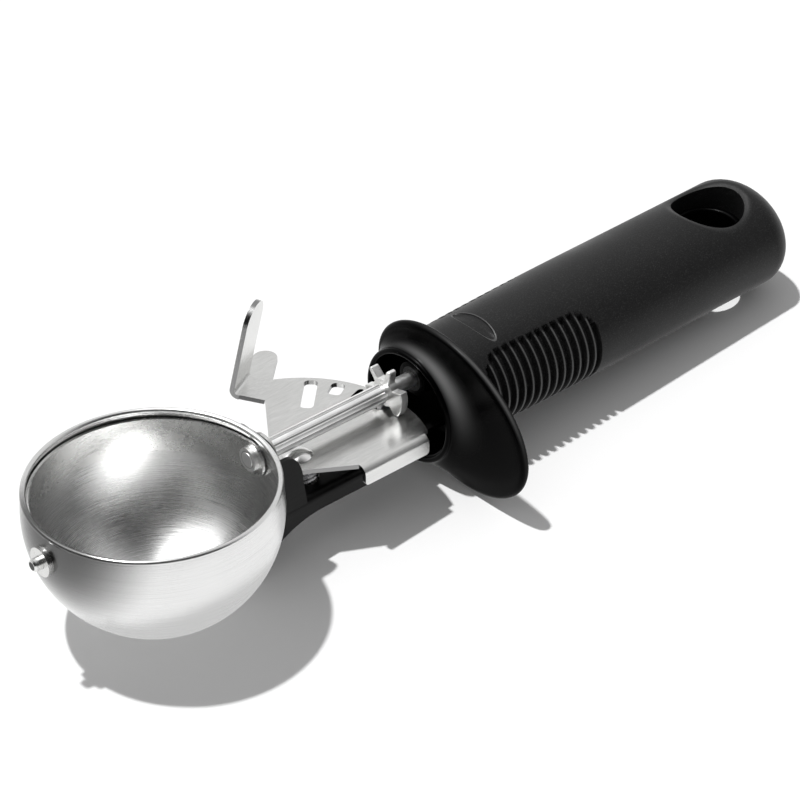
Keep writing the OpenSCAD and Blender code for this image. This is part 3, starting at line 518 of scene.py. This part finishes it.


# Painted highlights: the fold in front of the rim and the rim's own edge are made pale where the
# lamp catches them. Each highlight has its middle and spread in rings, then round the guard in
# radians.
fold_ring, fold_width, fold_turn, fold_length = 4.5, 3.2, np.radians(122), 0.75
rim_ring, rim_width, rim_turn, rim_length, rim_highlight_level = 4.5, 1.2, np.radians(125), 0.7, 0.6
ring_number = np.arange(len(guard_rings))[:, None]
fold_highlight = bell(ring_number - flare_from, fold_ring, fold_width)
fold_highlight = fold_highlight * bell(around, fold_turn, fold_length)
rim_highlight = bell(ring_number - rim_from, rim_ring, rim_width)
rim_highlight = rim_highlight_level * rim_highlight * bell(around, rim_turn, rim_length)
on_flare = (ring_number >= flare_from) & (ring_number < rim_from)
on_rim = (ring_number >= rim_from) & (ring_number < neck_from)
set_wear_and_highlight(core, on_flare * fold_highlight + on_rim * rim_highlight)

hang_x, hang_r, ring_r, ring_h, corner = 104.5, 7.5, 9.3, 14.0, 0.8
bar_half_w, bar_half_h = 11.9, 9.545
bar_start, bar_end, sleeve_lap = hollow_depth - 0.5, hang_x - ring_r + 2, 1.0
axis_r = 0.01
boss_x, boss_len, boss_r, bush_r, boss_corner = neck_x + 1.5, 9.0, 4.5, 3.2, 0.4


def bar(name, start, end):
    """The flattened round bar inside the grip, from one x to another."""
    y = bar_half_w * np.cos(around)
    z = np.clip(bar_half_w * np.sin(around), -bar_half_h, bar_half_h)
    ends = [np.column_stack([np.full(len(y), x), y, z]) for x in (start, end)]
    return skin(name, on_handle(ends))


def ring_profile(outer, low, high, soft):
    """Profile of a round plug with softened edges, as (radius, height)."""
    return np.concatenate([
        [(axis_r, low)],
        arc(soft, -90, 0, 6, (outer - soft, low + soft)),
        arc(soft, 0, 90, 6, (outer - soft, high - soft)),
        [(axis_r, high)],
    ])


def upright(name, profile, sides=96):
    """A piece turned about the hanging hole's upright axis."""
    radius, height = np.array(profile, float).T[..., None]
    a = np.arange(sides) * 2 * np.pi / sides
    rounds = np.stack([hang_x + radius * np.cos(a), radius * np.sin(a), height + 0 * a], -1)
    return skin(name, on_handle(rounds))


face, soft_r = ring_h / 2, hang_r + corner
hole_profile = np.concatenate([
    [(axis_r, -face - 1), (soft_r, -face - 1)],
    arc(corner, 270, 180, 6, (soft_r, corner - face)),
    arc(corner, 180, 90, 6, (soft_r, face - corner)),
    [(soft_r, face + 1), (axis_r, face + 1)],
])
boss = ring_profile(boss_r, boss_x, boss_x + boss_len, boss_corner)
bore = [(bush_r, boss_x - 1), (bush_r, boss_x + boss_len)]
combine(core, bar("core_bar", bar_start, bar_end), "UNION")
combine(core, upright("core_ring", ring_profile(ring_r, -face, face, corner)), "UNION")
combine(core, turned("core_boss", boss, "x", 64), "UNION")
combine(core, upright("core_hole", hole_profile), "DIFFERENCE")
combine(core, turned("core_bore", bore, "x", 64), "DIFFERENCE")
crisp(core)


def black_plastic(name, colour, roughness, shine, grain, depth, speck):
    """Moulded plastic. A fine noise, grain cells to the metre, is its mould texture,
    and lifts its colour by speck at its highest points."""
    paint, tree, shader, where = new_paint(name)
    fine = added(tree, "TexNoise", {"Vector": where["Object"], "Scale": grain, "Detail": 3})
    broad = added(tree, "TexNoise", {"Vector": where["Object"], "Scale": 45, "Detail": 4})
    height = fine.outputs["Fac"]
    peaks = added(tree, "MapRange", {"Value": height, "From Min": 0.52, "From Max": 0.8})
    tint = added(tree, "Mix", {
        "Factor": peaks.outputs["Result"],
        "A": (*colour, 1),
        "B": (*[c + speck for c in colour], 1),
    }, data_type="RGBA")
    polish = added(tree, "MapRange", {
        "Value": broad.outputs["Fac"],
        "From Min": 0.3, "From Max": 0.7,
        "To Min": roughness * 0.85, "To Max": roughness * 1.15,
    })
    bump = added(tree, "Bump", {"Height": height, "Strength": 0.6, "Distance": depth})
    feed(tree, shader, {
        "Base Color": tint.outputs["Result"],
        "Roughness": polish.outputs["Result"],
        "Specular IOR Level": shine,
        "Normal": bump.outputs["Normal"],
    })
    return paint


def recoloured_by_wear_and_highlight(paint, colour):
    """Blends a material toward a colour where the piece's wear_and_highlight attribute is high:
    real wear on the lever's edges and the oval, a painted highlight on the guard and the fins.
    """
    worn_and_lit = added(paint.node_tree, "Attribute", {}, attribute_name="wear_and_highlight")
    tinted(paint, worn_and_lit.outputs["Fac"], (*colour, 1), "MIX")


guard_black = black_plastic(
    "guard_black", (0.0004, 0.0004, 0.0005), 0.25,
    shine=0.035, grain=900, depth=0.00001, speck=0.001,
)
# Painted highlight: the guard is made pale where its fold and rim edge are marked.
recoloured_by_wear_and_highlight(guard_black, (0.17, 0.17, 0.17))
dressed(core, guard_black, "frame", "black_hard_plastic", "handle_core")

# ---- Bush and tang pins -----------------------------------------------------------
# A nylon bush in the boss carries the spindle's tail, and two steel pins lock the
# channel's tang inside the bar.
nylon = black_plastic(
    "nylon", (0.006, 0.006, 0.0063), 0.5, shine=0.2, grain=1500, depth=0.00001, speck=0.004
)
repaint(nylon, "spindle_bush")
repaint(turned_steel, "front_tang_pin", "rear_tang_pin")

# ---- Grip sleeve ------------------------------------------------------------------
# A soft black sleeve moulded over the bar: an oval barrel with a domed end, thin fins
# between grooves on both flanks, a shallow oval on top that is left bare, and a dish
# down to the ring of the hanging hole. The skin has a fine matte grain.
dome_x, dome_len, nose = 114.6, 10.2, 1.2
front_r, mid_r, end_r = 15.7, 16.8, 16.9
groove_count, groove_pitch, patch_start = 14, 2.6, 14.0
groove_deep, groove_half, fin_slope = 1.6, 0.95, 0.2
patch_half, patch_corner, patch_soft = 11.0, 6.5, 0.25
patch_end = patch_start + groove_count * groove_pitch
tip_highlight_half, tip_highlight_margin = 0.1, 0.6
dish_r, dish_top, dish_round = 9.7, end_r * grip_squash, 1.0


def grip_r(x):
    """Half width of the barrel: a parabola through its front, middle and end."""
    middle = (grip_start + dome_x) / 2
    share = (x - middle) / (dome_x - middle)
    return mid_r + (np.where(share < 0, front_r, end_r) - mid_r) * share * share


def smooth_step(low, high, value):
    """0 below low, 1 above high and 3t^2 - 2t^3 between them."""
    t = np.clip((value - low) / (high - low), 0, 1)
    return t * t * (3 - 2 * t)


def in_patch(x, z, margin):
    """1 inside the rounded patch of grooves, shrunk by a margin in mm, and 0 outside: a
    band |z| < half whose height follows a quarter circle toward each end in x."""
    from_end = np.minimum(x - patch_start, patch_end - x)
    short = np.clip(patch_corner - from_end, 0, patch_corner)
    half = patch_half - patch_corner + np.sqrt(patch_corner**2 - short**2)
    inside = smooth_step(-patch_soft, patch_soft, half - margin - np.abs(z))
    return inside * (from_end > 0)


def groove_share(x, z):
    """How deep the surface is cut, 0 to 1: the groove's trough across x in the patch."""
    place = (x - patch_start) / groove_pitch
    off_middle = np.abs(place - np.floor(place) - 0.5) * groove_pitch
    trough = 1 - smooth_step(groove_half - fin_slope, groove_half, off_middle)
    return trough * in_patch(x, z, 0)


def fin_tip_highlight(x, z):
    """Painted highlight on the fins' tips: 1 along the middle of a fin, in the patch."""
    place = (x - patch_start) / groove_pitch
    off_fin = np.abs(place - np.round(place)) * groove_pitch
    return (off_fin < tip_highlight_half) * in_patch(x, z, tip_highlight_margin)


fin_steps = np.array([0.4, 0.72, 0.8, 0.86, 0.92, 0.98])
fin_steps = np.concatenate([[-groove_pitch / 2], -fin_steps[::-1], fin_steps])
groove_middles = patch_start + (np.arange(groove_count) + 0.5) * groove_pitch
fine_from, coarse, fine = 90, 3, 0.4
nose_arc = np.radians(np.arange(0, 91, 15))
dome_arc = np.radians(np.append(np.arange(5, 90, 5), [88, 89.7]))
barrel_x = np.sort(np.concatenate([
    np.arange(grip_start + nose + 0.4, patch_start, 0.6),
    (groove_middles[:, None] + fin_steps).ravel(),
    np.arange(patch_end, fine_from, coarse),
    np.arange(fine_from, dome_x, fine),
    [dome_x],
]))
profile_x = np.concatenate([
    grip_start + nose * (1 - np.cos(nose_arc)),
    barrel_x,
    dome_x + dome_len * np.sin(dome_arc),
])
profile_r = np.concatenate([
    grip_r(grip_start) - nose * (1 - np.sin(nose_arc)),
    grip_r(barrel_x),
    end_r * np.cos(dome_arc),
])
girth_angles = np.arange(300) * 2 * np.pi / 300
x, a = np.meshgrid(profile_x, girth_angles, indexing="ij")
r = np.broadcast_to(profile_r[:, None], x.shape)
r = r - groove_deep * groove_share(x, r * grip_squash * np.sin(a))
from_dish = np.hypot(x - hang_x, r * np.cos(a)) - dish_r
r = r - dish_round * np.clip(1 - from_dish / (2 * dish_round), 0, 1) ** 2
z = r * grip_squash * np.sin(a)
sleeve = skin("grip_sleeve_moulding", on_handle(np.stack([x, r * np.cos(a), z], -1)))
set_wear_and_highlight(sleeve, fin_tip_highlight(x, z))
combine(sleeve, bar("sleeve_bore", grip_start - 2, bar_end - sleeve_lap), "DIFFERENCE")

dish_slope = (dish_r - ring_r) / (dish_top - face)
beyond = 30.0
beyond_r = ring_r + dish_slope * (beyond - face)
dish = [(axis_r, -beyond), (beyond_r, -beyond), (ring_r, -face)]
dish += [(radius, -height) for radius, height in reversed(dish)]
combine(sleeve, upright("sleeve_dish", dish, 120), "DIFFERENCE")

oval_x, oval_half_x, oval_half_y, oval_deep = 22.0, 2.3, 7.6, 0.45
oval_floor = ((0.01, 0), (0.5, 0), (0.9, 0))
oval_wall = ((0.93, 0.1), (0.95, 0.25), (0.98, 0.34), (1.05, 0.42))
oval_lid = ((1.1, 1.5), (0.5, 1.5), (0.01, 1.5))
rubbed_share, oval_rub = 0.98, 0.8


def oval_tool():
    """The shallow oval's cutter: rings of an ellipse on the barrel lowered by the
    recess's depth, then up the wall and back over the top. Its upper wall is worn."""
    a = np.arange(96) * 2 * np.pi / 96
    rings = []
    for share, lift in oval_floor + oval_wall + oval_lid:
        ox = oval_x + oval_half_x * share * np.cos(a)
        oy = oval_half_y * share * np.sin(a)
        across = grip_r(ox) - oval_deep + lift
        rings.append(np.column_stack([ox, oy, grip_squash * np.sqrt(across**2 - oy**2)]))
    tool = skin("sleeve_oval", on_handle(rings))
    rubbed = [share >= rubbed_share for share, lift in oval_floor + oval_wall]
    rubbed = np.array(rubbed + [False] * len(oval_lid))
    set_wear_and_highlight(tool, np.repeat(rubbed * oval_rub, len(a)))
    return tool


combine(sleeve, oval_tool(), "DIFFERENCE")
crisp(sleeve)
soft_black = black_plastic(
    "soft_black", (0.006, 0.006, 0.0062), 0.42, shine=0.2, grain=3600, depth=0.00006, speck=0.03
)
# Painted highlight along the fins' tips. The oval's upper wall is made paler as wear.
recoloured_by_wear_and_highlight(soft_black, (0.09, 0.09, 0.09))
dressed(sleeve, soft_black, "frame", "black_soft_grip", "grip_sleeve")

# ---- Pivot stack ------------------------------------------------------------------
# A domed rivet through the channel's web holds the lever on a nylon bushing between two
# steel washers, and a small torsion spring round the bushing brings the lever back.
repaint(turned_steel, "upper_washer", "lower_washer")
rivet_steel = metal("rivet_steel", (0.9, 0.9, 0.89), 0.18, lines=(400, 400, 400), patch=300)
repaint(rivet_steel, "pivot_rivet")
repaint(nylon, "pivot_bushing")
spring_wire = metal("spring_wire", (0.45, 0.45, 0.46), 0.25, lines=(900, 900, 900), patch=200)
repaint(spring_wire, "return_spring")

# ---- Lever ------------------------------------------------------------------------
# A flat sector of 1.2 mm stainless with a row of punched slots, a folded lip on its near
# edge, and a ramp that carries the thumb tab. Its faces are polished almost bright, and
# its sheared edges are left dull.
sheet, slack = 1.2, 1.12
lever = tumbled("lever", "lever_plate", 0.2)
polished_sheet = metal(
    "polished_sheet", (0.76, 0.76, 0.75), 0.22,
    lines=(70, 3500, 3500), patch=90, spread=0.2, dent=0.00003,
)


def mark_cut_edges(piece, thick):
    """Sets a piece's wear attribute to 1 on the faces where a line straight inward
    leaves the metal farther off than thick, in mm: its sheared edges."""
    mesh = piece.data
    mesh.calc_loop_triangles()
    corners = [tuple(triangle.vertices) for triangle in mesh.loop_triangles]
    metal_inside = BVHTree.FromPolygons(
        [v.co for v in mesh.vertices], corners, all_triangles=True
    )
    just_under = 0.00002
    cut = np.zeros(len(mesh.polygons))
    largest = np.zeros(len(mesh.polygons))
    for triangle in mesh.loop_triangles:
        face = triangle.polygon_index
        if triangle.area > largest[face]:
            largest[face] = triangle.area
            centre = sum((mesh.vertices[i].co for i in triangle.vertices), Vector()) / 3
            start = centre - triangle.normal * just_under
            reached = metal_inside.ray_cast(start, -triangle.normal)[3]
            cut[face] = reached is None or reached * 1000 > thick
    set_wear_and_highlight(piece, cut, "FACE")


mark_cut_edges(lever, sheet * slack)
recoloured_by_wear_and_highlight(polished_sheet, (0.3, 0.3, 0.3))
dressed(lever, polished_sheet, "lever", "brushed_stainless", "lever_plate")

# ---- Spindle ----------------------------------------------------------------------
# A drawn steel shaft with eight narrow flutes, plain where it turns in its bearings.
# The bottoms of its flutes are painted dark: painted shade.
drawn_bright = metal(
    "drawn_bright", (0.97, 0.97, 0.96), 0.36, lines=(50, 1800, 1800), patch=200, spread=0.05
)


def painted_shade_within(paint, inner, low, high, darkest):
    """Darkens a metal between two distances from the spindle's line, in mm: fully from
    inner to low, then fading out toward high. It is painted shade, as shade lies in such
    hollows."""
    tree, span = paint.node_tree, 4.0
    line = tuple(spindle_line * 1000 / span)
    across = added(tree, "VectorMath", {0: off_centre(tree), 1: line}, operation="CROSS_PRODUCT")
    radius = added(tree, "VectorMath", {0: across.outputs["Vector"]}, operation="LENGTH")
    hollow = added(tree, "ValToRGB", {"Fac": radius.outputs["Value"]})
    stops = hollow.color_ramp.elements
    dark, plain = (darkest, darkest, darkest, 1), (1, 1, 1, 1)
    stops[0].position, stops[0].color = low / span, dark
    stops[1].position, stops[1].color = high / span, plain
    if inner:
        stops.new(inner / span).color = dark
        stops.new(inner / span - 0.01).color = plain
    tinted(paint, 1, hollow.outputs["Color"], "MULTIPLY")


painted_shade_within(drawn_bright, inner=2.07, low=2.14, high=2.24, darkest=0.4)
repaint(drawn_bright, "spindle")

# ---- Star pinion ------------------------------------------------------------------
# Cast in zinc: four teeth that run in the lever's slots and one broad lobe that stops on
# the sheet. Tumbling leaves it soft at the edges and faintly grainy.
star = tumbled("star_pinion_casting", "star_pinion", 0.2)
cast_zinc = metal(
    "cast_zinc", (0.9, 0.9, 0.89), 0.33, lines=(900, 900, 900), patch=500, dent=0.00008
)
dressed(star, cast_zinc, "sweep", "cast_zinc", "star_pinion")

# ---- Scraper and its pin ----------------------------------------------------------
# A thin sprung band of stainless that follows the inside of the bowl, held at the front
# by a turned pin that goes out through the bearing and has a dimple in its end.
blade_steel = metal("blade_steel", (0.76, 0.76, 0.75), 0.26, lines=(120, 1500, 1500), patch=120)
repaint(blade_steel, "scraper_blade")
pin_steel = metal("pin_steel", (0.8, 0.8, 0.79), 0.22, lines=(2500, 400, 400), patch=300)
# Painted shade: the middle of the pin's outer end is darkened, as the shade of its dimple.
painted_shade_within(pin_steel, inner=0, low=0.95, high=1.15, darkest=0.03)
repaint(pin_steel, "front_pin")
